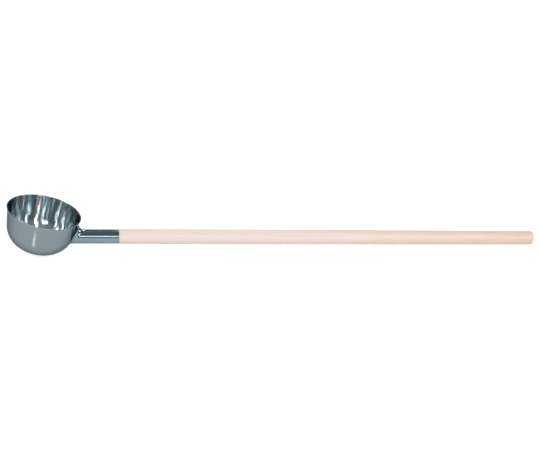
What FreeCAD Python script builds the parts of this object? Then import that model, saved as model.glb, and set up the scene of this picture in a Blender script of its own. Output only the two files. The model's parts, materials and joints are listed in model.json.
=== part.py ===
import FreeCAD, Part
import math
import os
import re
import Sketcher

# Hishaku water dipper: a deep pressed steel bowl, a steel socket welded to its side, and a long
# wooden pole whose turned-down end sits in the socket, held by one screw.
#
# The dipper is drawn with its bowl upright, the centre of the rim at the origin and the pole
# rising towards +X in the XZ plane. It is then tilted to the way it lies on a table: on the round
# bottom of the bowl and the far end of the pole, with the origin under the middle of the whole.

# Millimetres and degrees.
DRIVING_SIZES = [
    ("rim_radius", 75.0, "outer edge of the lip, half of a 150 mm bowl"),
    ("lip_reach", 1.2, "how far the turned-out lip stands proud of the wall"),
    ("sheet", 1.0, "thickness of the pressed steel"),
    ("edge_break", 0.3, "bevel of the two corners of the lip's cut edge"),
    ("pour_round", 0.9, "rounding of the inner edge of the rim"),
    ("bowl_depth", 88.0, "rim to the lowest point outside"),
    ("wall_draft", 8.0, "slope of the upper wall, in degrees"),
    ("knuckle_radius", 50.0, "outside bend between the wall and the round bottom"),
    ("dome_radius", 87.5, "outside radius of the round bottom"),
    ("pole_rise", 13.6, "slope of the pole above the plane of the rim, in degrees"),
    ("axis_drop", 56.4, "depth at which the line of the pole meets the axis of the bowl"),
    ("mouth_reach", 162.0, "from the axis of the bowl to the mouth of the socket, along the pole"),
    ("socket_radius", 14.3, "outside of the socket tube"),
    ("socket_wall", 1.2, "wall of the socket tube"),
    ("mouth_bevel", 0.5, "bevel of the open edge of the socket"),
    ("weld_radius", 6.5, "hollow of the polished weld round the root of the socket"),
    ("weld_gap", 0.02, "between the weld and the two pieces that it joins, as drawn"),
    ("pole_length", 900.0, "whole wooden pole, with the end inside the socket"),
    ("pole_radius", 15.0, "straight stretch of the pole next to the socket"),
    ("straight_length", 268.0, "from the shoulder to where the pole begins to taper"),
    ("end_radius", 13.7, "far end of the pole"),
    ("end_round", 7.5, "rounding of the far end"),
    ("shoulder_round", 1.2, "rounding of the shoulder that meets the socket"),
    ("spigot_length", 58.0, "turned-down end inside the socket"),
    ("spigot_chamfer", 2.0, "lead-in of the turned-down end"),
    ("spigot_clearance", 0.1, "gap all round between the turned-down end and the socket"),
    ("screw_inset", 20.0, "from the mouth of the socket to the screw"),
    ("screw_radius", 1.5, "outside of the thread"),
    ("screw_length", 14.0, "screw below its head, with the point"),
    ("screw_point", 3.0, "length of the point"),
    ("head_radius", 2.6, "low flat head of the screw"),
    ("head_height", 0.8, "low flat head of the screw"),
    ("head_bevel", 0.4, "bevel of the screw's head"),
    ("recess_width", 0.7, "one arm of the cross recess"),
    ("recess_span", 2.4, "across the cross recess"),
    ("recess_depth", 1.0, "depth of the cross recess"),
    ("screw_clearance", 0.3, "gap all round between the screw and the hole in the socket"),
    ("pilot_clearance", 0.05, "gap all round between the screw and the wood"),
    ("cut_overrun", 2.0, "how far every cutting form passes the surface that it opens"),
]

# The knuckle's arc joins the straight wall to the dome, so its centre follows from them: it lies
# knuckle_out from the centre of the dome square to the wall, and knuckle_down along the wall.
DERIVED_SIZES = [
    ("across", "cos(wall_draft)"),
    ("down", "sin(wall_draft)"),
    ("wall_radius", "rim_radius - lip_reach"),
    ("dome_centre", "bowl_depth - dome_radius"),
    ("arc_gap", "dome_radius - knuckle_radius"),
    ("knuckle_out", "wall_radius * across - dome_centre * down - knuckle_radius"),
    ("knuckle_down", "sqrt(arc_gap ^ 2 - knuckle_out ^ 2)"),
    ("knuckle_reach", "knuckle_out * across - knuckle_down * down"),
    ("knuckle_depth", "dome_centre + knuckle_out * down + knuckle_down * across"),
    ("bore_radius", "socket_radius - socket_wall"),
    ("spigot_radius", "bore_radius - spigot_clearance"),
    ("spigot_start", "mouth_reach - spigot_length"),
    ("taper_start", "mouth_reach + straight_length"),
    ("far_end", "spigot_start + pole_length"),
    ("end_centre", "far_end - end_round"),
    ("end_core", "end_radius - end_round"),
    ("screw_place", "mouth_reach - screw_inset"),
    ("screw_tip", "screw_length - socket_radius"),
    ("head_end", "socket_radius + head_height"),
]

# The rest on the table: the dome and the rounded far end touch it, each below its arc's centre.
REST_SIZES = [
    ("drop_to_line", "axis_drop - dome_centre"),
    ("rest_run", "end_centre - drop_to_line * sin(pole_rise)"),
    ("rest_side", "drop_to_line * cos(pole_rise) + end_core"),
    ("rest_step", "dome_radius - end_round"),
    ("table_slope", "asin(rest_step / sqrt(rest_run ^ 2 + rest_side ^ 2)) / 1deg"),
    ("centres_slope", "atan2(rest_side; rest_run) / 1deg"),
    ("pole_fall", "table_slope - centres_slope"),
    ("bowl_tilt", "pole_rise + pole_fall"),
    ("end_reach", "end_centre * cos(pole_fall) + end_core * sin(pole_fall) + end_round"),
    ("right_side", "end_reach - axis_drop * sin(bowl_tilt)"),
    ("left_side", "knuckle_reach * cos(bowl_tilt) + knuckle_depth * sin(bowl_tilt) + knuckle_radius"),
    ("rim_x", "(left_side - right_side) / 2"),
    ("rim_z", "dome_radius + dome_centre * cos(bowl_tilt)"),
]

COUNTERCLOCKWISE = 1
CLOCKWISE = -1
EDGE_SAMPLES = 5

doc = FreeCAD.newDocument("water_dipper")
sheet = doc.addObject("Spreadsheet::Sheet", "sizes")
NAMES = [alias for alias, *_ in DRIVING_SIZES + DERIVED_SIZES + REST_SIZES]


def fill_sheet():
    """One named size to a row: plain numbers first, then the formulas that follow from them."""
    rows = [(alias, str(value), remark) for alias, value, remark in DRIVING_SIZES]
    rows += [(alias, "=" + formula, "worked out") for alias, formula in DERIVED_SIZES + REST_SIZES]
    for row, (alias, content, remark) in enumerate(rows, start=1):
        sheet.set(f"A{row}", alias)
        sheet.set(f"B{row}", content)
        sheet.set(f"C{row}", remark)
        sheet.setAlias(f"B{row}", alias)
    doc.recompute()


def bound(formula):
    """The formula as other objects need it, with the name of the sheet before each size."""
    return re.sub(r"[a-z_]+", lambda word: "sizes." + word[0] if word[0] in NAMES else word[0], formula)


def size(formula):
    """The number that a formula of named sizes stands for."""
    return float(sheet.evalExpression(bound(formula)))


def new_body(label):
    """A body that lies with the dipper on the table."""
    body = doc.addObject("PartDesign::Body", label)
    body.Label = label
    body.Placement = FreeCAD.Placement(FreeCAD.Vector(), FreeCAD.Rotation(FreeCAD.Vector(0, 1, 0), 1))
    body.setExpression("Placement.Rotation.Angle", bound("bowl_tilt * 1deg"))
    body.setExpression("Placement.Base.x", bound("rim_x"))
    body.setExpression("Placement.Base.z", bound("rim_z"))
    return body


def middle_plane_sketch(body, label):
    """A sketch on the upright plane through the bowl's axis and the pole."""
    sketch = body.newObject("Sketcher::SketchObject", label)
    plane = next(item for item in body.Origin.OriginFeatures if item.Role == "XZ_Plane")
    sketch.AttachmentSupport = [(plane, "")]
    sketch.MapMode = "FlatFace"
    return sketch


def turn_to_pole(sketch, place="0"):
    """Turns the sketch so that its x runs along the pole, from a place on the pole's line."""
    turn = FreeCAD.Rotation(FreeCAD.Vector(0, 0, 1), 1)
    sketch.AttachmentOffset = FreeCAD.Placement(FreeCAD.Vector(), turn)
    sketch.setExpression("AttachmentOffset.Rotation.Angle", bound("pole_rise * 1deg"))
    sketch.setExpression("AttachmentOffset.Base.x", bound(f"({place}) * cos(pole_rise)"))
    sketch.setExpression("AttachmentOffset.Base.y", bound(f"({place}) * sin(pole_rise) - axis_drop"))


def arc_between(start, end, radius, turn):
    """The short arc of a radius from start to end, counterclockwise as the sketcher keeps it."""
    chord = end - start
    rise = math.sqrt(max(radius ** 2 - chord.Length ** 2 / 4, 0))
    normal = FreeCAD.Vector(-chord.y, chord.x, 0).normalize()
    centre = (start + end) / 2 + normal * rise * turn
    first, last = (start, end) if turn == COUNTERCLOCKWISE else (end, start)
    angles = [math.atan2(point.y - centre.y, point.x - centre.x) for point in (first, last)]
    circle = Part.Circle(centre, FreeCAD.Vector(0, 0, 1), radius)
    return Part.ArcOfCircle(circle, angles[0], angles[1])


def hold_point(sketch, edge, end, x, y):
    """Ties one end of an edge to its two formulas."""
    axes = ((x, "DistanceX", -2), (y, "DistanceY", -1))
    for formula, kind, axis in axes:
        if formula == "0":
            sketch.addConstraint(Sketcher.Constraint("PointOnObject", edge, end, axis))
        else:
            index = sketch.addConstraint(Sketcher.Constraint(kind, -1, 1, edge, end, size(formula)))
            sketch.setExpression(f"Constraints[{index}]", bound(formula))


def draw_outline(sketch, corners):
    """Closes an outline through corners (x, y), or (x, y, radius, turn) where an arc leads on."""
    points = [FreeCAD.Vector(size(corner[0]), size(corner[1]), 0) for corner in corners]
    ends = []
    for index, corner in enumerate(corners):
        start = points[index]
        end = points[(index + 1) % len(points)]
        if len(corner) == 2:
            edge = sketch.addGeometry(Part.LineSegment(start, end), False)
            ends.append((edge, 1, 2))
            continue
        x, y, radius, turn = corner
        edge = sketch.addGeometry(arc_between(start, end, size(radius), turn), False)
        ends.append((edge, 1, 2) if turn == COUNTERCLOCKWISE else (edge, 2, 1))
        held = sketch.addConstraint(Sketcher.Constraint("Radius", edge, size(radius)))
        sketch.setExpression(f"Constraints[{held}]", bound(radius))
    for index, (edge, start, end) in enumerate(ends):
        following, its_start, _ = ends[(index + 1) % len(ends)]
        sketch.addConstraint(Sketcher.Constraint("Coincident", edge, end, following, its_start))
        hold_point(sketch, edge, start, corners[index][0], corners[index][1])


def turned(body, kind, sketch, axis):
    """A full turn of the sketch about one of its axes: a Revolution adds and a Groove cuts."""
    feature = body.newObject("PartDesign::" + kind, sketch.Label + "_turned")
    feature.Profile = sketch
    feature.ReferenceAxis = (sketch, [axis])
    sketch.Visibility = False
    doc.recompute()
    return feature


def rounded(body, feature, edges, radius):
    """A fillet of one radius along the listed edges."""
    fillet = body.newObject("PartDesign::Fillet", body.Label + "_round")
    fillet.Base = (feature, edges)
    fillet.setExpression("Radius", bound(radius))
    doc.recompute()
    return fillet


def edges_where(shape, test):
    """Names of the edges whose sampled points all pass a test, apart from a point at a pole."""
    names = []
    for number, edge in enumerate(shape.Edges, start=1):
        if not edge.Degenerated and all(test(point) for point in edge.discretize(EDGE_SAMPLES)):
            names.append(f"Edge{number}")
    return names


def pressed_curve(inset):
    """Corners of the bowl's curve at a depth under its outside: bottom, end of dome, end of wall."""
    dome_share = f"(dome_radius - {inset}) / arc_gap"
    bend = f"(knuckle_radius - {inset})"
    bottom = ("0", f"-bowl_depth + {inset}")
    dome_end_depth = f"dome_centre + (knuckle_depth - dome_centre) * {dome_share}"
    dome_end = (f"knuckle_reach * {dome_share}", f"-({dome_end_depth})")
    wall_end = (f"knuckle_reach + {bend} * across", f"-knuckle_depth - {bend} * down")
    return bottom, dome_end, wall_end


def draw_bowl_form(body, label, gap="0"):
    """The bowl as one solid outline, grown by a gap, for what is cut or filled to fit it."""
    bottom, dome_end, wall_end = pressed_curve(f"(-{gap})")
    sketch = middle_plane_sketch(body, label)
    draw_outline(sketch, [
        (*bottom, f"dome_radius + {gap}", COUNTERCLOCKWISE),
        (*dome_end, f"knuckle_radius + {gap}", COUNTERCLOCKWISE),
        wall_end,
        (f"wall_radius + {gap} / across", "0"),
        ("0", "0"),
    ])
    return sketch


def draw_bar(body, label, radius, end):
    """Half of a round bar on the line of the pole, from the axis of the bowl to its end."""
    sketch = middle_plane_sketch(body, label)
    turn_to_pole(sketch)
    draw_outline(sketch, [
        ("0", "0"),
        (end, "0"),
        (end, radius),
        ("0", radius),
    ])
    return sketch


def make_bowl():
    """Pressed sheet of even thickness with a turned-out lip."""
    body = new_body("bowl")
    bottom, dome_end, wall_end = pressed_curve("0")
    inner_bottom, inner_dome_end, inner_wall_end = pressed_curve("sheet")
    sketch = middle_plane_sketch(body, "bowl_wall")
    draw_outline(sketch, [
        (*bottom, "dome_radius", COUNTERCLOCKWISE),
        (*dome_end, "knuckle_radius", COUNTERCLOCKWISE),
        wall_end,
        ("wall_radius - sheet * down / across", "-sheet"),
        ("rim_radius - edge_break", "-sheet"),
        ("rim_radius", "-sheet + edge_break"),
        ("rim_radius", "-edge_break"),
        ("rim_radius - edge_break", "0"),
        ("wall_radius - sheet / across", "0"),
        (*inner_wall_end, "knuckle_radius - sheet", CLOCKWISE),
        (*inner_dome_end, "dome_radius - sheet", CLOCKWISE),
        inner_bottom,
    ])
    wall = turned(body, "Revolution", sketch, "V_Axis")
    edge_radius = size("wall_radius - sheet / across")
    near = size("sheet") / 100

    def is_pouring_edge(point):
        return abs(point.z) < near and abs(math.hypot(point.x, point.y) - edge_radius) < near

    rounded(body, wall, edges_where(wall.Shape, is_pouring_edge), "pour_round")
    return body


def distance_from_pole_line(point):
    """How far a point of the upright dipper lies from the line of the pole."""
    rise = math.radians(size("pole_rise"))
    along = FreeCAD.Vector(math.cos(rise), 0, math.sin(rise))
    from_line = point + FreeCAD.Vector(0, 0, size("axis_drop"))
    return from_line.cross(along).Length


def distance_along_pole(point):
    """Place of a point along the line of the pole, from the axis of the bowl."""
    rise = math.radians(size("pole_rise"))
    return point.x * math.cos(rise) + (point.z + size("axis_drop")) * math.sin(rise)


def make_socket():
    """Tube coped to the side of the bowl, with a bevelled mouth and a hole for the screw."""
    body = new_body("socket")
    tube = middle_plane_sketch(body, "socket_tube")
    turn_to_pole(tube)
    draw_outline(tube, [
        ("0", "bore_radius"),
        ("mouth_reach", "bore_radius"),
        ("mouth_reach", "socket_radius - mouth_bevel"),
        ("mouth_reach - mouth_bevel", "socket_radius"),
        ("0", "socket_radius"),
    ])
    turned(body, "Revolution", tube, "H_Axis")
    turned(body, "Groove", draw_bowl_form(body, "socket_cope"), "V_Axis")
    hole = middle_plane_sketch(body, "screw_hole")
    turn_to_pole(hole, "screw_place")
    draw_outline(hole, [
        ("0", "-socket_radius - cut_overrun"),
        ("screw_radius + screw_clearance", "-socket_radius - cut_overrun"),
        ("screw_radius + screw_clearance", "-bore_radius + cut_overrun"),
        ("0", "-bore_radius + cut_overrun"),
    ])
    turned(body, "Groove", hole, "V_Axis")
    return body


def make_weld():
    """The hollow weld alone: bowl and bar joined and filleted, then both taken away again."""
    body = new_body("socket_weld")
    turned(body, "Revolution", draw_bowl_form(body, "weld_bowl"), "V_Axis")
    bar = draw_bar(body, "weld_bar", "socket_radius", "mouth_reach")
    joined = turned(body, "Revolution", bar, "H_Axis")
    mouth, outside, near = size("mouth_reach"), size("socket_radius"), size("socket_wall") / 100

    def is_seam(point):
        on_bar = abs(distance_from_pole_line(point) - outside) < near
        return on_bar and distance_along_pole(point) < mouth - near

    seam = [name for name in edges_where(joined.Shape, is_seam) if not is_straight(joined.Shape, name)]
    rounded(body, joined, seam, "weld_radius")
    turned(body, "Groove", draw_bowl_form(body, "bowl_away", "weld_gap"), "V_Axis")
    bar_away = draw_bar(body, "bar_away", "socket_radius + weld_gap", "mouth_reach + cut_overrun")
    turned(body, "Groove", bar_away, "H_Axis")
    return body


def is_straight(shape, edge_name):
    """Tells a seam of the bar's own surface from the curve where it meets the bowl."""
    return isinstance(shape.getElement(edge_name).Curve, Part.Line)


def make_pole():
    """Turned wooden pole: lead-in, spigot, shoulder, straight grip, slow taper and rounded end."""
    body = new_body("handle")
    sketch = middle_plane_sketch(body, "pole_outline")
    turn_to_pole(sketch)
    draw_outline(sketch, [
        ("spigot_start", "0"),
        ("spigot_start", "spigot_radius - spigot_chamfer"),
        ("spigot_start + spigot_chamfer", "spigot_radius"),
        ("mouth_reach", "spigot_radius"),
        ("mouth_reach", "pole_radius - shoulder_round", "shoulder_round", CLOCKWISE),
        ("mouth_reach + shoulder_round", "pole_radius"),
        ("taper_start", "pole_radius"),
        ("end_centre", "end_radius", "end_round", CLOCKWISE),
        ("far_end", "end_core"),
        ("far_end", "0"),
    ])
    turned(body, "Revolution", sketch, "H_Axis")
    pilot = middle_plane_sketch(body, "pilot_hole")
    turn_to_pole(pilot, "screw_place")
    draw_outline(pilot, [
        ("0", "-spigot_radius - cut_overrun"),
        ("screw_radius + pilot_clearance", "-spigot_radius - cut_overrun"),
        ("screw_radius + pilot_clearance", "screw_tip - screw_point"),
        ("0", "screw_tip + pilot_clearance"),
    ])
    turned(body, "Groove", pilot, "V_Axis")
    return body


def make_screw():
    """Low-headed screw with a cross recess, driven up through the underside of the socket."""
    body = new_body("retaining_screw")
    sketch = middle_plane_sketch(body, "screw_outline")
    turn_to_pole(sketch, "screw_place")
    draw_outline(sketch, [
        ("0", "-head_end"),
        ("head_radius - head_bevel", "-head_end"),
        ("head_radius", "-head_end + head_bevel"),
        ("head_radius", "-socket_radius"),
        ("screw_radius", "-socket_radius"),
        ("screw_radius", "screw_tip - screw_point"),
        ("0", "screw_tip"),
    ])
    turned(body, "Revolution", sketch, "V_Axis")
    slot = middle_plane_sketch(body, "recess_slot")
    turn_to_pole(slot, "screw_place")
    draw_outline(slot, [
        ("-recess_width / 2", "-head_end - cut_overrun"),
        ("recess_width / 2", "-head_end - cut_overrun"),
        ("recess_width / 2", "-head_end + recess_depth"),
        ("-recess_width / 2", "-head_end + recess_depth"),
    ])
    pocket = body.newObject("PartDesign::Pocket", "recess_arm")
    pocket.Profile = slot
    pocket.Midplane = True
    pocket.setExpression("Length", bound("recess_span"))
    doc.recompute()
    cross = body.newObject("PartDesign::PolarPattern", "recess_cross")
    cross.Originals = [pocket]
    cross.Axis = (slot, ["V_Axis"])
    cross.Angle = 90
    cross.Occurrences = 2
    body.Tip = cross
    doc.recompute()
    return body


def check(bodies):
    """Stops before anything is written if a feature failed, a cut cut nothing or a piece split."""
    for item in doc.Objects:
        if "Invalid" in item.State or "Error" in item.State:
            raise RuntimeError(f"{item.Label} failed: {item.State}")
    for body in bodies:
        if body.Shape.isNull() or not body.Shape.isValid() or len(body.Shape.Solids) != 1:
            raise RuntimeError(f"{body.Label} isn't one valid solid")
        for item in body.Group:
            cuts = item.TypeId in ("PartDesign::Groove", "PartDesign::Pocket")
            if cuts and item.Shape.Volume >= item.BaseFeature.Shape.Volume:
                raise RuntimeError(f"{item.Label} cuts nothing")


fill_sheet()
pieces = [make_bowl(), make_socket(), make_weld(), make_pole(), make_screw()]
check(pieces)
os.makedirs("parts", exist_ok=True)
for piece in pieces:
    piece.Shape.exportStep(f"parts/{piece.Label}.step")
    box = piece.Shape.BoundBox
    print(f"{piece.Label}: {piece.Shape.Volume / 1000:.2f} cm3,"
          f" x {box.XMin:.2f} to {box.XMax:.2f}, z {box.ZMin:.2f} to {box.ZMax:.2f}")
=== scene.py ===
import bpy
import bmesh
import json
import math
from mathutils import Matrix, Vector


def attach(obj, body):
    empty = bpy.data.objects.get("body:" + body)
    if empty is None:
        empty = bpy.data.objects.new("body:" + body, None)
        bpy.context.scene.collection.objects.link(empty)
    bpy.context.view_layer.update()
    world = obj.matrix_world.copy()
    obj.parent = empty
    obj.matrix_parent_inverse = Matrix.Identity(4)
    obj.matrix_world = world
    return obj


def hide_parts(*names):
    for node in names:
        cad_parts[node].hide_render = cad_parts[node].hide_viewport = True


# Water dipper lying on a pale floor: a pressed and polished steel bowl, a steel socket welded
# to its side and a long turned wooden pole. Each piece is drawn in millimetres, on the axis of
# the bowl or on the line of the pole, and is then set in its place in metres.

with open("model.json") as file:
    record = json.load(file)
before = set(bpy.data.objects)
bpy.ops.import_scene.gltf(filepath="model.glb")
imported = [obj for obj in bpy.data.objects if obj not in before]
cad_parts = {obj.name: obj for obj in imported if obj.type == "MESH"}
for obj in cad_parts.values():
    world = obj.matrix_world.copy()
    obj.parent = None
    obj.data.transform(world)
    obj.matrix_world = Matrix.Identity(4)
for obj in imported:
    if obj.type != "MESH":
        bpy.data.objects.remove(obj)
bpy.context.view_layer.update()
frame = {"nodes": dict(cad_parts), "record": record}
mm = 0.001
print("frame loaded with", len(frame["nodes"]), "nodes")

# Places

layout = {
    "poleRise": math.radians(13.6),  # slope of the pole above the plane of the rim
    "axisDrop": 56.4,                # depth at which the pole's line meets the bowl's axis
    "gripMiddle": 296.6,             # from there to the middle of the straight grip
    "mouthReach": 162.0,             # from there to the mouth of the socket
}

grip = next(mount for mount in frame["record"]["mounts"] if mount["name"] == "handle_grip")
poleWay = Vector(grip["axis"])
poleFall = math.atan2(-poleWay.z, poleWay.x)
bowlTilt = layout["poleRise"] + poleFall
crossing = Vector(grip["pos_m"]) - poleWay * layout["gripMiddle"] * mm
bowlUp = Vector((math.sin(bowlTilt), 0, math.cos(bowlTilt)))
rimCentre = crossing + bowlUp * layout["axisDrop"] * mm
bowlPlace = Matrix.Translation(rimCentre) @ Matrix.Rotation(bowlTilt, 4, "Y") @ Matrix.Scale(mm, 4)
polePlace = Matrix.Translation(crossing) @ Matrix.Rotation(poleFall, 4, "Y") @ Matrix.Scale(mm, 4)
poleInBowl = bowlPlace.inverted() @ polePlace

# Small helpers


def newObject(name, data):
    made = bpy.data.objects.new(name, data)
    bpy.context.scene.collection.objects.link(made)
    return made


def newMesh(name, points, faces):
    mesh = bpy.data.meshes.new(name)
    mesh.from_pydata(points, [], faces)
    return mesh


def wayTo(azimuth, elevation):
    # azimuth turns from the side that the photograph shows, -Y, towards +X
    level = math.cos(elevation)
    return Vector((math.sin(azimuth) * level, -math.cos(azimuth) * level, math.sin(elevation)))


def opaque(colour):
    return (*colour, 1)


# Camera

photoView = {
    "target": (-0.00533, 0, 0.051),
    "distance": 2.778,
    "azimuth": math.radians(-1.931),
    "elevation": math.radians(25.852),
    "lens": 91.75,
    "sensor": 36,
}


def makeCamera():
    data = bpy.data.cameras.new("photoCamera")
    data.lens = photoView["lens"]
    data.sensor_width = photoView["sensor"]
    camera = newObject("photoCamera", data)
    back = wayTo(photoView["azimuth"], photoView["elevation"])
    camera.location = Vector(photoView["target"]) + back * photoView["distance"]
    camera.rotation_euler = back.to_track_quat("Z", "Y").to_euler()
    bpy.context.scene.camera = camera


makeCamera()
print("camera set")

# Node helpers


def wire(tree, value, inlet):
    # another node's output is linked, anything else is typed into the inlet
    if isinstance(value, bpy.types.NodeSocket):
        tree.links.new(value, inlet)
    else:
        inlet.default_value = value


def mathNode(tree, operation, *values, kind="ShaderNodeMath"):
    node = tree.nodes.new(kind)
    node.operation = operation
    for value, inlet in zip(values, node.inputs):
        wire(tree, value, inlet)
    return node.outputs[0]


def vectorNode(tree, operation, first, second):
    return mathNode(tree, operation, first, second, kind="ShaderNodeVectorMath")


def rangeNode(tree, value, fromLow, fromHigh, toLow=0.0, toHigh=1.0):
    node = tree.nodes.new("ShaderNodeMapRange")
    for amount, inlet in zip((value, fromLow, fromHigh, toLow, toHigh), node.inputs):
        wire(tree, amount, inlet)
    return node.outputs[0]


def partsOf(tree, vector):
    node = tree.nodes.new("ShaderNodeSeparateXYZ")
    wire(tree, vector, node.inputs["Vector"])
    return node.outputs


def vectorFrom(tree, *parts):
    node = tree.nodes.new("ShaderNodeCombineXYZ")
    for part, inlet in zip(parts, node.inputs):
        wire(tree, part, inlet)
    return node.outputs["Vector"]


def noiseNode(tree, vector, scale, detail):
    node = tree.nodes.new("ShaderNodeTexNoise")
    wire(tree, vector, node.inputs["Vector"])
    wire(tree, scale, node.inputs["Scale"])
    wire(tree, detail, node.inputs["Detail"])
    return node.outputs["Fac"]


def mixColour(tree, share, first, second):
    node = tree.nodes.new("ShaderNodeMix")
    node.data_type = "RGBA"
    wire(tree, share, node.inputs["Factor"])
    wire(tree, first, node.inputs["A"])
    wire(tree, second, node.inputs["B"])
    return node.outputs["Result"]


def objectPlace(tree):
    return tree.nodes.new("ShaderNodeTexCoord").outputs["Object"]


def placeFrom(tree, origin, tilt):
    # the place as measured from a point, along axes that are tipped about Y
    node = tree.nodes.new("ShaderNodeMapping")
    node.vector_type = "TEXTURE"
    node.inputs["Location"].default_value = origin
    node.inputs["Rotation"].default_value = (0, tilt, 0)
    wire(tree, objectPlace(tree), node.inputs["Vector"])
    return node.outputs["Vector"]


def drawnOut(tree, vector, share, offset=(0, 0, 0)):
    # the smaller the share, the longer a pattern is along X
    node = tree.nodes.new("ShaderNodeMapping")
    node.inputs["Scale"].default_value = (share, 1, 1)
    node.inputs["Location"].default_value = offset
    wire(tree, vector, node.inputs["Vector"])
    return node.outputs["Vector"]


def addBump(tree, height, shader):
    # heights are in metres
    bump = tree.nodes.new("ShaderNodeBump")
    bump.inputs["Distance"].default_value = 1.0
    wire(tree, height, bump.inputs["Height"])
    wire(tree, bump.outputs["Normal"], shader.inputs["Normal"])


def newTree(kind, name, inputs, outputs):
    tree = bpy.data.node_groups.new(name, kind)
    for label, socketType, value in inputs:
        inlet = tree.interface.new_socket(label, in_out="INPUT", socket_type=socketType)
        if value is not None:
            inlet.default_value = value
    for label, socketType in outputs:
        tree.interface.new_socket(label, in_out="OUTPUT", socket_type=socketType)
    return tree, tree.nodes.new("NodeGroupInput").outputs, tree.nodes.new("NodeGroupOutput").inputs


def newMaterial(name):
    material = bpy.data.materials.new(name)
    material.use_nodes = True
    tree = material.node_tree
    shader = tree.nodes["Principled BSDF"]
    return material, tree, shader


# Steel finishes; the colours of the bowl's outside and the socket also hold painted shade

polish = {
    "waveDetail": 1.0,
    "hazeScale": 140.0,
    "hazeDetail": 6.0,
    "hazeLow": 0.35,       # noise at or under this is the smoothest steel
    "hazeHigh": 0.65,      # noise at or over this is the roughest
    "stretchTurn": 0.25,   # sets the stretched highlights across the way the wheel ran
}


def steelSurfaceGroup():
    # slow waves left by the press, and a fine haze left by the polishing wheel
    tree, given, result = newTree("ShaderNodeTree", "steelSurface", [
        ("Place", "NodeSocketVector", None),
        ("Wave Size", "NodeSocketFloat", 0.03),
        ("Wave Height", "NodeSocketFloat", 0.0001),
        ("Smoothest", "NodeSocketFloat", 0.1),
        ("Roughest", "NodeSocketFloat", 0.2),
    ], [("Roughness", "NodeSocketFloat"), ("Height", "NodeSocketFloat")])
    waveScale = mathNode(tree, "DIVIDE", 1.0, given["Wave Size"])
    waves = noiseNode(tree, given["Place"], waveScale, polish["waveDetail"])
    wire(tree, mathNode(tree, "MULTIPLY", waves, given["Wave Height"]), result["Height"])
    haze = noiseNode(tree, given["Place"], polish["hazeScale"], polish["hazeDetail"])
    wire(tree, rangeNode(tree, haze, polish["hazeLow"], polish["hazeHigh"],
                         given["Smoothest"], given["Roughest"]), result["Roughness"])
    return tree


steelSurface = steelSurfaceGroup()


def downTheWall(tree, finish):
    # changes round the bowl's axis and only slowly with the depth, so waves run down the wall
    x, y, z = partsOf(tree, placeFrom(tree, rimCentre, bowlTilt))
    square = mathNode(tree, "MULTIPLY_ADD", x, x, mathNode(tree, "MULTIPLY", y, y))
    reach = mathNode(tree, "MAXIMUM", mathNode(tree, "SQRT", square), finish["evenWithin"])
    grow = mathNode(tree, "DIVIDE", finish["wallReach"], reach)
    return vectorFrom(tree, mathNode(tree, "MULTIPLY", x, grow),
                      mathNode(tree, "MULTIPLY", y, grow),
                      mathNode(tree, "MULTIPLY", z, finish["downShare"]))


def roundTheBowl(tree):
    # the way the polishing wheel ran, level round the bowl's own axis
    fromAxis = vectorNode(tree, "SUBTRACT", objectPlace(tree), rimCentre)
    return vectorNode(tree, "CROSS_PRODUCT", bowlUp, fromAxis)


def steelMaterial(name, finish):
    material, tree, shader = newMaterial(name)
    shader.inputs["Metallic"].default_value = 1.0
    shader.inputs["Base Color"].default_value = opaque(finish["colour"])
    shader.inputs["Specular Tint"].default_value = opaque(finish["edgeTint"])
    place = downTheWall(tree, finish) if "downShare" in finish else objectPlace(tree)
    surface = tree.nodes.new("ShaderNodeGroup")
    surface.node_tree = steelSurface
    wire(tree, place, surface.inputs["Place"])
    surface.inputs["Wave Size"].default_value = finish["waveSize"]
    surface.inputs["Wave Height"].default_value = finish["waveHeight"]
    surface.inputs["Smoothest"].default_value = finish["smoothest"]
    surface.inputs["Roughest"].default_value = finish["roughest"]
    wire(tree, surface.outputs["Roughness"], shader.inputs["Roughness"])
    addBump(tree, surface.outputs["Height"], shader)
    shader.inputs["Anisotropic"].default_value = finish["stretch"]
    shader.inputs["Anisotropic Rotation"].default_value = polish["stretchTurn"]
    if finish["stretch"]:
        wire(tree, roundTheBowl(tree), shader.inputs["Tangent"])
    return material


outsideFinishAndShade = {
    "stretch": 0.6,
    # the steel's own blue-grey, made much darker than the inside's as painted shade for the dimmer
    # surroundings that the outside mirrors
    "colour": (0.195, 0.231, 0.249),
    "edgeTint": (0.33, 0.38, 0.38),
    "waveSize": 0.03,
    "waveHeight": 0.00006,
    "smoothest": 0.17,
    "roughest": 0.26,
}
insideFinish = {
    "stretch": 1.0,        # the wheel ran round the bowl, so highlights are drawn out up and down
    "downShare": 0.25,     # how fast the waves change with the depth
    "wallReach": 0.075,    # from the bowl's axis, where the waves have their size
    "evenWithin": 0.045,   # nearer to the axis than this, they get no narrower
    "colour": (0.46, 0.52, 0.55),
    "edgeTint": (0.8, 0.85, 0.85),
    "waveSize": 0.018,
    "waveHeight": 0.00008,
    "smoothest": 0.1,
    "roughest": 0.15,
}
socketFinishAndShade = {
    "stretch": 0.0,
    # the steel's own blue-grey, made darker as painted shade for the dimmer surroundings that the
    # tube mirrors
    "colour": (0.2, 0.254, 0.284),
    "edgeTint": (0.3, 0.38, 0.42),
    "waveSize": 0.03,
    "waveHeight": 0.00002,
    "smoothest": 0.09,
    "roughest": 0.13,
}
screwFinish = {
    "stretch": 0.0,
    "colour": (0.46, 0.48, 0.48),
    "edgeTint": (0.8, 0.8, 0.8),
    "waveSize": 0.004,
    "waveHeight": 0.000005,
    "smoothest": 0.25,
    "roughest": 0.38,
}
bowlOutside = steelMaterial("bowlOutside", outsideFinishAndShade)
bowlInside = steelMaterial("bowlInside", insideFinish)
socketSteel = steelMaterial("socketSteel", socketFinishAndShade)
screwSteel = steelMaterial("screwSteel", screwFinish)

# Wood finish

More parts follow.
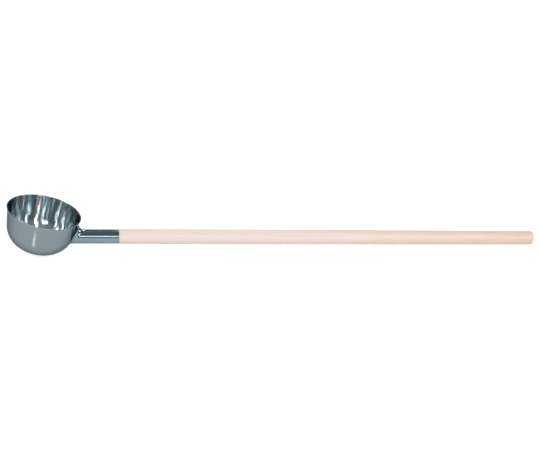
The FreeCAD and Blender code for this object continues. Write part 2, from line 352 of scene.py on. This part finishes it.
wood = {
    "nearColour": (0.875, 0.718, 0.638),   # next to the socket
    "farColour": (0.8, 0.56, 0.435),       # at the far end
    "ringColour": (0.74, 0.55, 0.43),      # narrow late wood of each year's ring
    "tintColour": (0.86, 0.66, 0.62),      # pink stretches of the heartwood
    "gradientStart": 0.5,                  # along the pole, from the bowl's axis
    "gradientEnd": 1.0,
    "tintScale": 90.0,
    "tintDetail": 2.0,
    "tintDrawnOut": 0.12,
    "tintLow": 0.45,                       # noise under this has no pink
    "tintHigh": 0.7,
    "tintShow": 0.45,
    "heart": (0.0, 0.034, -0.021),         # middle of the tree beside the pole's line
    "ringWidth": 0.0024,
    "ringWander": 2.5,
    "ringDetail": 2.0,
    "ringDetailScale": 0.6,
    "ringDrawnOut": 0.02,
    "lateWoodStart": 0.55,                 # share of the way from early to late wood
    "ringShow": 0.42,
    "fibreScale": 900.0,
    "fibreDetail": 4.0,
    "fibreDrawnOut": 0.03,
    "fibreLow": 0.3,                       # noise at or under this is the smoothest wood
    "fibreHigh": 0.7,
    "fibreDepth": 0.00002,
    "smoothest": 0.36,
    "roughest": 0.5,
}


def woodMaterial():
    material, tree, shader = newMaterial("poleWood")
    line = placeFrom(tree, crossing, poleFall)
    along = rangeNode(tree, partsOf(tree, line)["X"], wood["gradientStart"], wood["gradientEnd"])
    ground = mixColour(tree, along, opaque(wood["nearColour"]), opaque(wood["farColour"]))
    stretches = noiseNode(tree, drawnOut(tree, line, wood["tintDrawnOut"]),
                          wood["tintScale"], wood["tintDetail"])
    tint = rangeNode(tree, stretches, wood["tintLow"], wood["tintHigh"], 0.0, wood["tintShow"])
    ground = mixColour(tree, tint, ground, opaque(wood["tintColour"]))

    # year rings round the middle of the tree show as long lines on the side and arcs on the end
    rings = tree.nodes.new("ShaderNodeTexWave")
    rings.wave_type = "RINGS"
    rings.rings_direction = "X"
    rings.inputs["Scale"].default_value = math.pi / 10 / wood["ringWidth"]  # one ring each width
    rings.inputs["Distortion"].default_value = wood["ringWander"]
    rings.inputs["Detail"].default_value = wood["ringDetail"]
    rings.inputs["Detail Scale"].default_value = wood["ringDetailScale"]
    wire(tree, drawnOut(tree, line, wood["ringDrawnOut"], wood["heart"]), rings.inputs["Vector"])
    lateWood = rangeNode(tree, rings.outputs["Fac"], wood["lateWoodStart"], 1.0,
                         0.0, wood["ringShow"])
    colour = mixColour(tree, lateWood, ground, opaque(wood["ringColour"]))
    wire(tree, colour, shader.inputs["Base Color"])

    fibres = noiseNode(tree, drawnOut(tree, line, wood["fibreDrawnOut"]),
                       wood["fibreScale"], wood["fibreDetail"])
    wire(tree, rangeNode(tree, fibres, wood["fibreLow"], wood["fibreHigh"],
                         wood["smoothest"], wood["roughest"]), shader.inputs["Roughness"])
    addBump(tree, mathNode(tree, "MULTIPLY", fibres, wood["fibreDepth"]), shader)
    return material


poleWood = woodMaterial()
print("finishes made")

# Shapes

sharpBend = math.radians(38)  # edges that bend more than this stay crisp


def turnsRound(sides):
    return [2 * math.pi * side / sides for side in range(sides)]


def arcPoints(centre, radius, fromTurn, toTurn, steps):
    turns = [fromTurn + (toTurn - fromTurn) * step / steps for step in range(steps + 1)]
    return [(centre[0] + radius * math.cos(turn), centre[1] + radius * math.sin(turn))
            for turn in turns]


def roundedCorner(before, corner, after, radius, steps):
    corner = Vector(corner)
    back = (Vector(before) - corner).normalized()
    ahead = (Vector(after) - corner).normalized()
    half = back.angle(ahead) / 2
    centre = corner + (back + ahead).normalized() * radius / math.sin(half)
    start = corner + back * radius / math.tan(half) - centre
    end = corner + ahead * radius / math.tan(half) - centre
    fromTurn = math.atan2(start.y, start.x)
    sweep = (math.atan2(end.y, end.x) - fromTurn + math.pi) % (2 * math.pi) - math.pi
    return arcPoints(centre, radius, fromTurn, fromTurn + sweep, steps)


def straightPoints(start, end, shares=(0.02, 0.1, 0.3, 0.5, 0.7, 0.9, 0.98)):
    # points close to both ends keep the shading of a long straight stretch even
    return [tuple(Vector(start).lerp(Vector(end), share)) for share in shares]


def finishPiece(name, mesh, place, materials):
    work = bmesh.new()
    work.from_mesh(mesh)
    bmesh.ops.transform(work, matrix=place, verts=work.verts)
    bmesh.ops.recalc_face_normals(work, faces=work.faces)
    work.to_mesh(mesh)
    work.free()
    for material in materials:
        mesh.materials.append(material)
    mesh.shade_smooth()
    mesh.set_sharp_from_angle(angle=sharpBend)
    return newObject(name, mesh)


def turnedMesh(name, profile, sides):
    # a closed solid turned about Z from (reach, height) points that start and end on the axis
    turns = turnsRound(sides)
    points = [(0, 0, profile[0][1])]
    for reach, height in profile[1:-1]:
        points += [(reach * math.cos(turn), reach * math.sin(turn), height) for turn in turns]
    points.append((0, 0, profile[-1][1]))
    faces = []
    for side in range(sides):
        beside = (side + 1) % sides
        faces.append((0, 1 + side, 1 + beside))
        for row in range(len(profile) - 3):
            low, high = 1 + row * sides, 1 + (row + 1) * sides
            faces.append((low + side, high + side, high + beside, low + beside))
        last = 1 + (len(profile) - 3) * sides
        faces.append((last + side, len(points) - 1, last + beside))
    return newMesh(name, points, faces)


def ringMesh(name, sections):
    # a closed ring of closed sections, each a list of as many points
    points = [point for section in sections for point in section]
    across = len(sections[0])
    faces = []
    for index in range(len(sections)):
        here, there = index * across, (index + 1) % len(sections) * across
        for step in range(across):
            beside = (step + 1) % across
            faces.append((here + step, there + step, there + beside, here + beside))
    return newMesh(name, points, faces)


# Bowl

bowl = {
    "rimRadius": 75.0,
    "lipReach": 1.2,            # how far the turned-out lip stands proud of the wall
    "lipHollow": 0.6,           # small hollow between the wall and the underside of the lip
    "sheet": 1.0,
    "pourRound": 0.9,           # inner edge of the rim
    "depth": 88.0,
    "wallDraft": math.radians(8.0),
    "knuckleRadius": 50.0,      # bend between the wall and the round bottom
    "domeRadius": 87.5,
    "sides": 256,
    "domeSteps": 14,            # steps of each arc in the bowl's section
    "knuckleSteps": 24,
    "hollowSteps": 6,
    "lipSteps": 10,
    "pourSteps": 8,
}
draftAcross = math.cos(bowl["wallDraft"])
draftDown = math.sin(bowl["wallDraft"])
wallRadius = bowl["rimRadius"] - bowl["lipReach"]
domeCentre = bowl["depth"] - bowl["domeRadius"]
knuckleOut = wallRadius * draftAcross - domeCentre * draftDown - bowl["knuckleRadius"]
knuckleDown = math.sqrt((bowl["domeRadius"] - bowl["knuckleRadius"]) ** 2 - knuckleOut ** 2)
knuckleReach = knuckleOut * draftAcross - knuckleDown * draftDown
knuckleDepth = domeCentre + knuckleOut * draftDown + knuckleDown * draftAcross
domeTurn = math.atan2(knuckleDepth - domeCentre, knuckleReach)


def pressedCurve(inset):
    # one face of the sheet, from the middle of the bottom to where the straight wall starts
    dome = arcPoints((0, -domeCentre), bowl["domeRadius"] - inset,
                     -math.pi / 2, -domeTurn, bowl["domeSteps"])
    bend = arcPoints((knuckleReach, -knuckleDepth), bowl["knuckleRadius"] - inset,
                     -domeTurn, -bowl["wallDraft"], bowl["knuckleSteps"])
    return dome + bend[1:]


def makeBowl():
    sheet = bowl["sheet"]
    outside = pressedCurve(0)
    inside = pressedCurve(sheet)
    underLip = (wallRadius - sheet * draftDown / draftAcross, -sheet)
    lipCentre = (bowl["rimRadius"] - sheet / 2, -sheet / 2)
    pourCorner = (wallRadius - sheet / draftAcross, 0)
    hollow = roundedCorner(outside[-1], underLip, (lipCentre[0], -sheet),
                           bowl["lipHollow"], bowl["hollowSteps"])
    lipEnd = arcPoints(lipCentre, sheet / 2, -math.pi / 2, math.pi / 2, bowl["lipSteps"])
    pour = roundedCorner(lipEnd[-1], pourCorner, inside[-1], bowl["pourRound"], bowl["pourSteps"])
    profile = outside + straightPoints(outside[-1], hollow[0]) + hollow + lipEnd + pour
    outsideRows = len(profile) - len(pour) // 2    # the finishes meet in the middle of the edge
    profile += straightPoints(pour[-1], inside[-1]) + inside[::-1]
    # both ends exactly on the axis
    profile[0] = (0, profile[0][1])
    profile[-1] = (0, profile[-1][1])
    mesh = turnedMesh("bowlShell", profile, bowl["sides"])
    rowsPerSide = len(profile) - 1
    for face in mesh.polygons:
        face.material_index = int(face.index % rowsPerSide >= outsideRows)
    return finishPiece("bowlShell", mesh, bowlPlace, [bowlOutside, bowlInside])


# Socket

socket = {
    "radius": 14.3,
    "wall": 1.2,
    "mouthRound": 0.5,
    "boreRound": 0.2,
    "sides": 160,
    "mouthSteps": 6,
    "boreSteps": 4,
    "copeSearch": (40.0, 110.0),   # along the pole, where the bowl's side is met
    "copeHalvings": 40,            # of that stretch, until the meeting point is found
}
weld = {
    "radius": 11.0,        # fuller than the plain solid's, as it shows above and under the tube
    "overlap": 0.015,      # how far its thin edges run into the tube and the bowl
    "arcSteps": 14,
}


def bowlGap(point):
    # distance of a point, given on the line of the pole, from the outside of the bowl
    spot = poleInBowl @ point
    reach, depth = math.hypot(spot.x, spot.y), -spot.z
    across, down = reach - knuckleReach, depth - knuckleDepth
    if down * draftAcross < across * draftDown:
        return across * draftAcross + down * draftDown - bowl["knuckleRadius"]
    if math.atan2(down, across) < domeTurn:
        return math.hypot(across, down) - bowl["knuckleRadius"]
    return math.hypot(reach, depth - domeCentre) - bowl["domeRadius"]


def roundPole(reach, radius, turn):
    return Vector((reach, radius * math.cos(turn), radius * math.sin(turn)))


def reachAtGap(radius, turn, gap):
    low, high = socket["copeSearch"]
    for halving in range(socket["copeHalvings"]):
        middle = (low + high) / 2
        if bowlGap(roundPole(middle, radius, turn)) < gap:
            low = middle
        else:
            high = middle
    return low


def makeSocket():
    outer, bore, mouth = socket["radius"], socket["radius"] - socket["wall"], layout["mouthReach"]
    sections = []
    for turn in turnsRound(socket["sides"]):
        outerRoot = (reachAtGap(outer, turn, 0), outer)
        boreRoot = (reachAtGap(bore, turn, 0), bore)
        edge = roundedCorner(outerRoot, (mouth, outer), (mouth, bore),
                             socket["mouthRound"], socket["mouthSteps"])
        edge += roundedCorner((mouth, outer), (mouth, bore), boreRoot,
                              socket["boreRound"], socket["boreSteps"])
        outline = [outerRoot] + straightPoints(outerRoot, edge[0]) + edge
        outline += straightPoints(edge[-1], boreRoot) + [boreRoot]
        sections.append([roundPole(reach, radius, turn) for reach, radius in outline])
    return finishPiece("socketTube", ringMesh("socketTube", sections), polePlace, [socketSteel])


def bowlNormal(point):
    # the way out of the bowl at a point near it
    step = 0.01
    slopes = [bowlGap(point + way * step) - bowlGap(point - way * step)
              for way in (Vector((1, 0, 0)), Vector((0, 1, 0)), Vector((0, 0, 1)))]
    return Vector(slopes).normalized()


def makeWeld():
    # a ball of the weld's radius rolls round the joint, touching both the tube and the bowl
    outer, ball = socket["radius"], weld["radius"]
    sections = []
    for turn in turnsRound(socket["sides"]):
        ballReach = reachAtGap(outer + ball, turn, ball)
        centre = roundPole(ballReach, outer + ball, turn)
        toTube = (roundPole(ballReach, outer, turn) - centre).normalized()
        toBowl = -bowlNormal(centre)
        hollow = [centre + toTube.slerp(toBowl, step / weld["arcSteps"]) * (ball + weld["overlap"])
                  for step in range(weld["arcSteps"] + 1)]
        # the hidden side goes through the corner where the tube meets the bowl
        corner = roundPole(reachAtGap(outer, turn, 0), outer, turn)
        hidden = [hollow[-1].lerp(corner, 0.5), corner, hollow[0].lerp(corner, 0.5)]
        sections.append(hollow + hidden)
    return finishPiece("socketWeld", ringMesh("socketWeld", sections), polePlace, [socketSteel])


# Pole

pole = {
    "Length": 900.0,
    "Spigot Length": 58.0,     # turned-down end inside the socket
    "Spigot Radius": 13.0,
    "Lead In": 2.0,
    "Shoulder Round": 1.2,
    "Grip Radius": grip["dims"]["r_mm"],
    "Grip Length": 268.0,      # straight stretch, before the slow taper
    "End Radius": 13.7,
    "End Round": 7.5,
    "Round Rings": 10,
    "Long Rings": 150,
    "Sides": 128,
}


def poleTree():
    # rings along the pole: lead-in and spigot, rounded shoulder, long body, rounded end
    whole = ("Round Rings", "Long Rings", "Sides")
    inputs = [(label, "NodeSocketInt" if label in whole else "NodeSocketFloat", value)
              for label, value in pole.items()]
    inputs.append(("Wood", "NodeSocketMaterial", None))
    tree, given, result = newTree("GeometryNodeTree", "turnedPole", inputs,
                                  [("Geometry", "NodeSocketGeometry")])

    def plus(first, second):
        return mathNode(tree, "ADD", first, second)

    def minus(first, second):
        return mathNode(tree, "SUBTRACT", first, second)

    def times(first, second):
        return mathNode(tree, "MULTIPLY", first, second)

    def sine(turn):
        return mathNode(tree, "SINE", turn)

    def cosineLoss(turn):
        return minus(1.0, mathNode(tree, "COSINE", turn))

    # rings 0 to 3: tip, end of the lead-in, foot of the shoulder, outer edge of its flat face
    ring = tree.nodes.new("GeometryNodeInputIndex").outputs[0]
    leadStep = rangeNode(tree, ring, 0.0, 1.0)
    spigotStep = rangeNode(tree, ring, 1.0, 2.0)
    shoulderStep = rangeNode(tree, ring, 2.0, 3.0)
    bodyStart = plus(given["Round Rings"], 3.0)
    endStart = plus(bodyStart, given["Long Rings"])
    lastRing = plus(endStart, given["Round Rings"])
    shoulderTurn = rangeNode(tree, ring, 3.0, bodyStart, 0.0, math.pi / 2)
    bodyShare = rangeNode(tree, ring, bodyStart, endStart)
    endTurn = rangeNode(tree, ring, endStart, lastRing, 0.0, math.pi / 2)

    # place along the pole
    bodyEnd = minus(given["Length"], given["End Round"])
    shoulderEnd = plus(given["Spigot Length"], given["Shoulder Round"])
    alongLead = times(given["Lead In"], leadStep)
    alongSpigot = times(minus(given["Spigot Length"], given["Lead In"]), spigotStep)
    alongShoulder = times(given["Shoulder Round"], cosineLoss(shoulderTurn))
    alongBody = times(minus(bodyEnd, shoulderEnd), bodyShare)
    alongEnd = times(given["End Round"], sine(endTurn))
    upToBody = plus(plus(plus(alongLead, alongSpigot), alongShoulder), alongBody)
    along = plus(upToBody, alongEnd)

    # radius there
    gripEnd = plus(given["Spigot Length"], given["Grip Length"])
    taper = rangeNode(tree, upToBody, gripEnd, bodyEnd,
                      0.0, minus(given["Grip Radius"], given["End Radius"]))
    leadLoss = times(given["Lead In"], minus(1.0, leadStep))
    shoulderStart = minus(given["Grip Radius"], given["Shoulder Round"])
    shoulderGain = times(minus(shoulderStart, given["Spigot Radius"]), shoulderStep)
    roundGain = times(given["Shoulder Round"], sine(shoulderTurn))
    endLoss = times(given["End Round"], cosineLoss(endTurn))
    radius = plus(plus(minus(given["Spigot Radius"], leadLoss), shoulderGain), roundGain)
    radius = minus(minus(radius, taper), endLoss)

    line = tree.nodes.new("GeometryNodeCurvePrimitiveLine")
    line.inputs["End"].default_value = (1, 0, 0)
    rings = tree.nodes.new("GeometryNodeResampleCurve")
    wire(tree, line.outputs["Curve"], rings.inputs["Curve"])
    wire(tree, plus(lastRing, 1.0), rings.inputs["Count"])
    spread = tree.nodes.new("GeometryNodeSetPosition")
    wire(tree, rings.outputs["Curve"], spread.inputs["Geometry"])
    wire(tree, vectorFrom(tree, along), spread.inputs["Position"])
    sized = tree.nodes.new("GeometryNodeSetCurveRadius")
    wire(tree, spread.outputs["Geometry"], sized.inputs["Curve"])
    wire(tree, radius, sized.inputs["Radius"])
    circle = tree.nodes.new("GeometryNodeCurvePrimitiveCircle")
    wire(tree, given["Sides"], circle.inputs["Resolution"])
    circle.inputs["Radius"].default_value = 1.0
    ringRadius = tree.nodes.new("GeometryNodeInputRadius")
    body = tree.nodes.new("GeometryNodeCurveToMesh")
    wire(tree, sized.outputs["Curve"], body.inputs["Curve"])
    wire(tree, circle.outputs["Curve"], body.inputs["Profile Curve"])
    wire(tree, ringRadius.outputs["Radius"], body.inputs["Scale"])
    body.inputs["Fill Caps"].default_value = True
    real = tree.nodes.new("GeometryNodeRealizeInstances")
    wire(tree, body.outputs["Mesh"], real.inputs["Geometry"])
    coat = tree.nodes.new("GeometryNodeSetMaterial")
    wire(tree, real.outputs["Geometry"], coat.inputs["Geometry"])
    wire(tree, given["Wood"], coat.inputs["Material"])
    wire(tree, coat.outputs["Geometry"], result["Geometry"])
    return tree


def bakeTree(name, tree, values):
    # runs a geometry tree with its inputs set, and keeps the result as a plain mesh
    carrier = newObject(name + "Carrier", bpy.data.meshes.new(name))
    modifier = carrier.modifiers.new(name, "NODES")
    modifier.node_group = tree
    for item in tree.interface.items_tree:
        if item.in_out == "INPUT" and item.name in values:
            modifier[item.identifier] = values[item.name]
    bpy.context.view_layer.update()
    evaluated = carrier.evaluated_get(bpy.context.evaluated_depsgraph_get())
    mesh = bpy.data.meshes.new_from_object(evaluated)
    bpy.data.objects.remove(carrier)
    return mesh


def makePole():
    mesh = bakeTree("woodenPole", poleTree(), {**pole, "Wood": poleWood})
    start = layout["mouthReach"] - pole["Spigot Length"]
    return finishPiece("woodenPole", mesh, polePlace @ Matrix.Translation((start, 0, 0)), [])


# Screw

screw = {
    "inset": 20.0,             # from the mouth of the socket
    "radius": 1.5,
    "length": 14.0,
    "point": 3.0,
    "headRadius": 2.6,
    "headHeight": 0.8,
    "headRound": 0.5,
    "headSteps": 8,
    "recessWidth": 0.7,
    "recessSpan": 2.4,
    "recessDepth": 1.0,
    "mendReach": 0.003,        # points nearer than this are joined after the recess is cut
    "sides": 64,
}


def crossRecess(crown):
    # two bars across each other, half sunk in the crown of the head
    work = bmesh.new()
    bar = (screw["recessSpan"], screw["recessWidth"], 2 * screw["recessDepth"], 1)
    for turn in (0, math.pi / 2):
        place = Matrix.Translation((0, 0, crown)) @ Matrix.Rotation(turn, 4, "Z")
        bmesh.ops.create_cube(work, size=1.0, matrix=place @ Matrix.Diagonal(bar))
    cross = bpy.data.meshes.new("crossRecess")
    work.to_mesh(cross)
    work.free()
    return newObject("crossRecess", cross)


def makeScrew():
    underHead = -socket["radius"]
    tip, crown = underHead + screw["length"], underHead - screw["headHeight"]
    shank, head = screw["radius"], screw["headRadius"]
    pan = roundedCorner((head, underHead), (head, crown), (0, crown),
                        screw["headRound"], screw["headSteps"])
    profile = [(0, tip), (shank, tip - screw["point"]), (shank, underHead), (head, underHead)]
    profile += pan + [(0, crown)]
    blank = newObject("screwBlank", turnedMesh("retainingScrew", profile, screw["sides"]))
    cutter = crossRecess(crown)
    recess = blank.modifiers.new("recess", "BOOLEAN")
    recess.object = cutter
    recess.use_self = True
    bpy.context.view_layer.update()
    evaluated = blank.evaluated_get(bpy.context.evaluated_depsgraph_get())
    cut = bpy.data.meshes.new_from_object(evaluated)
    bpy.data.objects.remove(blank)
    bpy.data.objects.remove(cutter)
    mend = bmesh.new()
    mend.from_mesh(cut)
    bmesh.ops.remove_doubles(mend, verts=mend.verts, dist=screw["mendReach"])
    bmesh.ops.dissolve_degenerate(mend, edges=mend.edges, dist=screw["mendReach"])
    mend.to_mesh(cut)
    mend.free()
    place = polePlace @ Matrix.Translation((layout["mouthReach"] - screw["inset"], 0, 0))
    return finishPiece("retainingScrew", cut, place, [screwSteel])


def seat(piece, node):
    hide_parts(node)
    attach(piece, "root")
    print(piece.name, "stands for", node, "with", len(piece.data.polygons), "faces")


seat(makeBowl(), "bowl")
seat(makeSocket(), "socket")
seat(makeWeld(), "socket_weld")
seat(makePole(), "handle")
seat(makeScrew(), "retaining_screw")

# Studio

studio = {
    "floorColour": (0.80, 0.80, 0.80),
    "floorRoughness": 0.9,
    "floorLift": 0.68,             # white added where the camera or a mirror sees the floor
    "floorSize": 40.0,
    "worldColour": (0.28, 0.31, 0.32),
    "worldStrength": 1.0,
    "middle": (0, 0, 0),           # of the dipper, which the fills point at
    "aim": (-0.45, 0, 0.08),       # the bowl, which the softboxes are set round
    "softboxDistance": 3.2,
    "steelOnly": ("rear", "rearRight", "rearLeft", "warm"),  # don't light the wood or the floor
}
fills = {
    # place, width and height, power: soft light that the steel doesn't mirror
    "sky": ((0, -2.4, 1.6), 3.4, 3.0, 16.2),
    "backFill": ((0, 3.0, 0.25), 3.4, 0.4, 22.0),
}
softboxes = {
    # degrees round from -Y and up, width and height in metres, brightness, colour
    "rear": (171, 44, 0.6, 1.6, 6.5, (1.0, 1.0, 1.0)),
    "rearRight": (148, 30, 0.3, 0.8, 6.0, (0.95, 1.0, 1.0)),
    "left": (-62, 45, 0.45, 2.2, 7.0, (0.95, 1.0, 1.0)),
    "frontStrip": (-3, 27, 1.0, 0.3, 7.0, (0.92, 1.0, 1.0)),
    "frontLow": (4, 17, 1.4, 0.45, 0.6, (0.9, 1.0, 1.0)),
    "rightFront": (32, 26, 0.3, 1.8, 12.0, (1.0, 1.0, 1.0)),
    "right": (84, 24, 0.4, 1.8, 8.0, (1.0, 1.0, 1.0)),
    "rearLeft": (-155, 60, 0.35, 0.8, 8.0, (0.95, 1.0, 1.0)),
    "warm": (-145, 37, 0.5, 1.0, 13.0, (1.0, 0.6, 0.42)),
}
glint = {
    # makes the narrow upright streak low on the front of the bowl, and leans back from it
    "place": (-0.4915, -0.109, 0.0135),
    "target": (-0.481, 0, 0.13),
    "width": 0.006,
    "height": 0.036,
    "brightness": 2.8,
}


def makeFloor():
    half = studio["floorSize"] / 2
    corners = [(-half, -half, 0), (half, -half, 0), (half, half, 0), (-half, half, 0)]
    mesh = newMesh("floor", corners, [(0, 1, 2, 3)])
    material, tree, shader = newMaterial("paleFloor")
    shader.inputs["Base Color"].default_value = opaque(studio["floorColour"])
    shader.inputs["Roughness"].default_value = studio["floorRoughness"]
    shader.inputs["Specular IOR Level"].default_value = 0.0
    seen = tree.nodes.new("ShaderNodeLightPath")
    direct = mathNode(tree, "MAXIMUM", seen.outputs["Is Camera Ray"], seen.outputs["Is Glossy Ray"])
    anySight = mathNode(tree, "MAXIMUM", direct, seen.outputs["Is Transmission Ray"])
    lift = mathNode(tree, "MULTIPLY", anySight, studio["floorLift"])
    shader.inputs["Emission Color"].default_value = (1, 1, 1, 1)
    wire(tree, lift, shader.inputs["Emission Strength"])
    mesh.materials.append(material)
    newObject("floor", mesh)


def makeWorld():
    world = bpy.data.worlds.new("studio")
    world.use_nodes = True
    background = world.node_tree.nodes["Background"]
    background.inputs["Color"].default_value = opaque(studio["worldColour"])
    background.inputs["Strength"].default_value = studio["worldStrength"]
    bpy.context.scene.world = world


def makeLight(name, place, target, width, height, power, colour=(1, 1, 1)):
    data = bpy.data.lights.new(name, "AREA")
    data.shape = "RECTANGLE"
    data.size = width
    data.size_y = height
    data.energy = power
    data.color = colour
    light = newObject(name, data)
    light.location = place
    light.rotation_euler = (Vector(target) - Vector(place)).to_track_quat("-Z", "Y").to_euler()
    return light


def mirrorPower(width, height, brightness):
    # a lamp of brightness 1 looks white in a mirror, whatever its size
    return 4 * width * height * brightness


def makeSoftbox(name, azimuth, elevation, width, height, brightness, colour):
    way = wayTo(math.radians(azimuth), math.radians(elevation))
    place = Vector(studio["aim"]) + way * studio["softboxDistance"]
    power = mirrorPower(width, height, brightness)
    box = makeLight(name, place, studio["aim"], width, height, power, colour)
    box.visible_diffuse = name not in studio["steelOnly"]


def makeGlint():
    # seen in the steel only
    width, height = glint["width"], glint["height"]
    power = mirrorPower(width, height, glint["brightness"])
    lamp = makeLight("glint", glint["place"], glint["target"], width, height, power)
    lamp.visible_camera = False
    lamp.visible_diffuse = False


makeFloor()
makeWorld()
for name, (place, width, height, power) in fills.items():
    fill = makeLight(name, place, studio["middle"], width, height, power)
    fill.visible_glossy = False
for name, box in softboxes.items():
    makeSoftbox(name, *box)
makeGlint()
bpy.context.scene.view_settings.view_transform = "Standard"
print("studio made")
